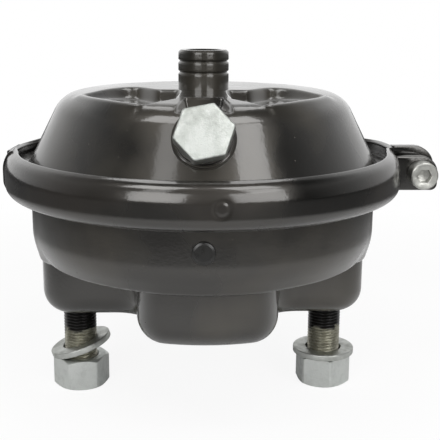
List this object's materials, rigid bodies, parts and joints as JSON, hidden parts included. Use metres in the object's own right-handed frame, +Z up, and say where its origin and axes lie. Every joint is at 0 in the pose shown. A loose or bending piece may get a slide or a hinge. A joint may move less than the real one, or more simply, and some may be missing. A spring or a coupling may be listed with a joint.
{
  "type": "air brake chamber",
  "caption": "Service air brake chamber: black pressed-steel housings clamped by a band, air inlet on top, plugged side port, studs below.",
  "frame": {"origin": "centre of the mounting face, midway between the two studs", "axes": "+Z up along the push rod's axis, away from the brake; +X along the line of studs towards the clamp's bolted ears; -Y is the side with the side port"},
  "size_m": [0.2051, 0.1848, 0.1635],
  "materials": {
    "housing_paint": "glossy black stoved enamel",
    "band_paint": "glossy black enamel",
    "stub_paint": "thin black paint over turned steel",
    "zinc_steel": "bright zinc plate, satin",
    "seal_metal": "dark steel with a rubber seal",
    "screw_steel": "grey zinc flake",
    "stud_steel": "dull plated steel, black paint on the upper part",
    "inner_steel": "satin",
    "spring_steel": "dark coated spring steel",
    "boot_rubber": "matt",
    "diaphragm_rubber": "matt",
    "vent_plastic": "satin moulded"
  },
  "bodies": {
    "chamber": {"pressure_housing": "housing_paint", "mounting_housing": "housing_paint", "clamp_ring_front": "band_paint", "clamp_ring_rear": "band_paint", "clamp_bolt": "screw_steel", "clamp_nut": "screw_steel", "air_inlet_stub": "stub_paint", "side_port_boss": "housing_paint", "port_plug": "zinc_steel", "port_plug_washer": "seal_metal", "diaphragm": "diaphragm_rubber", "return_spring": "spring_steel", "stud_plate": "inner_steel", "mounting_stud_left": "stud_steel", "mounting_stud_right": "stud_steel", "stud_nut_left": "zinc_steel", "stud_nut_right": "zinc_steel", "vent_plug_front": "vent_plastic", "vent_plug_right": "vent_plastic", "vent_plug_rear": "vent_plastic", "rod_boot": "boot_rubber", "boot_retaining_ring": "inner_steel"},
    "push_rod_assembly": {"push_plate": "inner_steel", "push_rod": "inner_steel"},
    "left_washer": {"stud_washer_left": "zinc_steel"},
    "right_washer": {"stud_washer_right": "zinc_steel"}
  },
  "joints": [
    {"name": "rod_slide", "type": "slide", "parent": "chamber", "child": "push_rod_assembly", "axis": [0, 0, -1], "range_m": [0, 0.057], "stiffness_N_per_m": 1200, "springref_m": -0.08, "deforming": ["return_spring", "diaphragm", "rod_boot"]},
    {"name": "left_washer_slide", "type": "slide", "parent": "chamber", "child": "left_washer", "axis": [0, 0, 1], "range_m": [0, 0.016]},
    {"name": "right_washer_slide", "type": "slide", "parent": "chamber", "child": "right_washer", "axis": [0, 0, 1], "range_m": [0, 0.025]}
  ]
}
